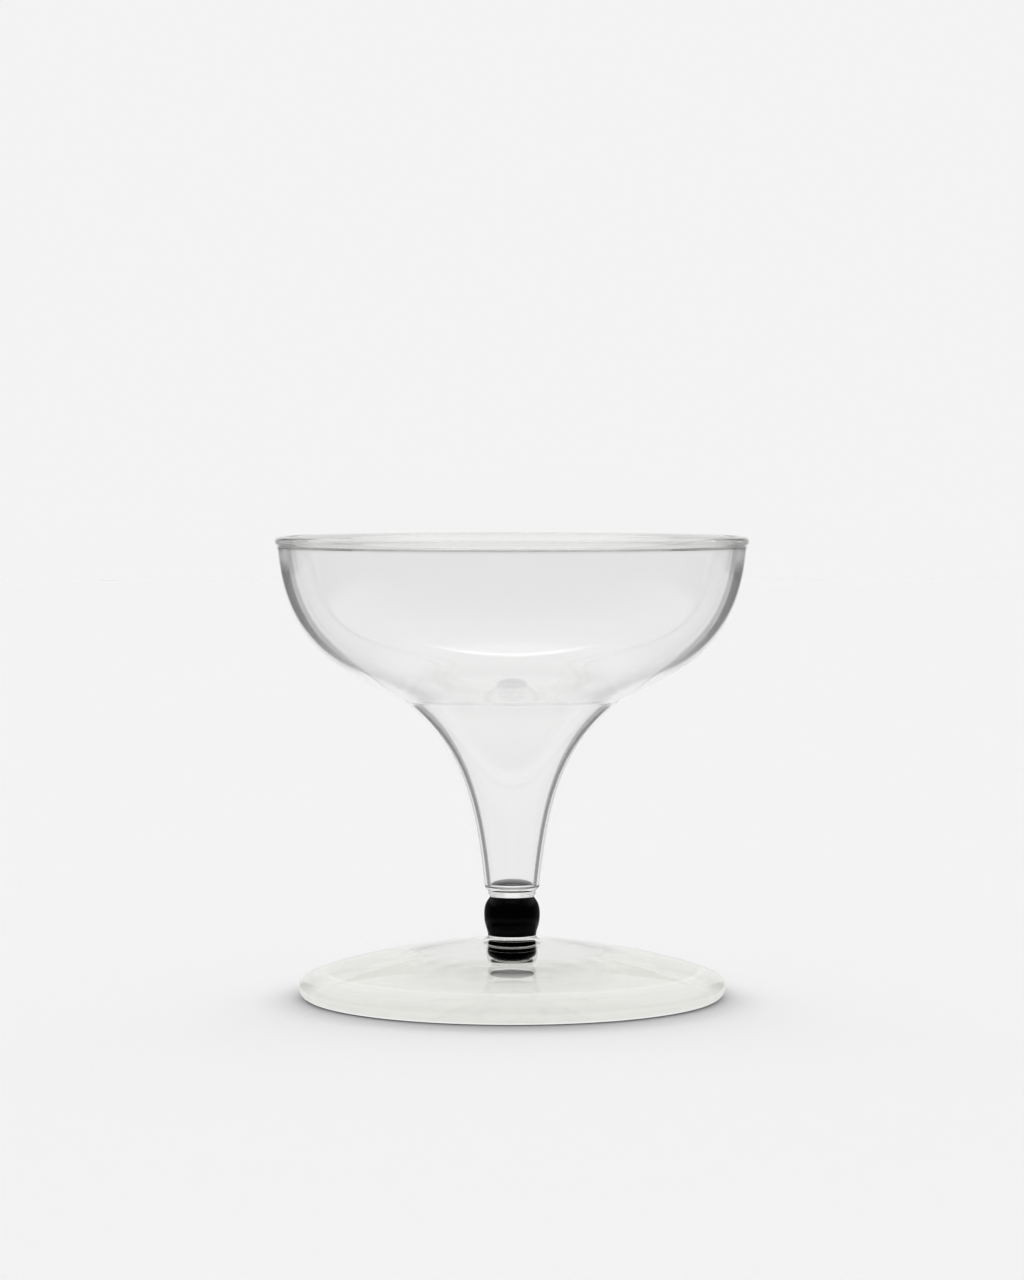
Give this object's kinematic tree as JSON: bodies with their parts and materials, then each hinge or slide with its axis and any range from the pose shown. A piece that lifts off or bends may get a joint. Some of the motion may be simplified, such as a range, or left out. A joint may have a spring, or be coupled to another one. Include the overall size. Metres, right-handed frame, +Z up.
{
  "type": "coupe glass",
  "caption": "Hand-blown clear coupe glass: wide shallow bowl, hollow trumpet stem, black glass bead, domed disc foot",
  "frame": {"origin": "on the glass's axis, in the plane that its foot rests on, at the centre of the foot", "axes": "+Z runs up the axis from the foot to the open rim; the glass is turned about it, so X and Y are any two level directions"},
  "size_m": [0.1, 0.1, 0.0973],
  "materials": {
    "clear_glass": "clear, polished",
    "black_glass": "opaque, polished"
  },
  "bodies": {
    "root": {"bowl": "clear_glass", "stem": "clear_glass", "stem_plug": "clear_glass", "bead": "black_glass", "foot_collar": "clear_glass", "foot": "clear_glass"}
  },
  "joints": []
}
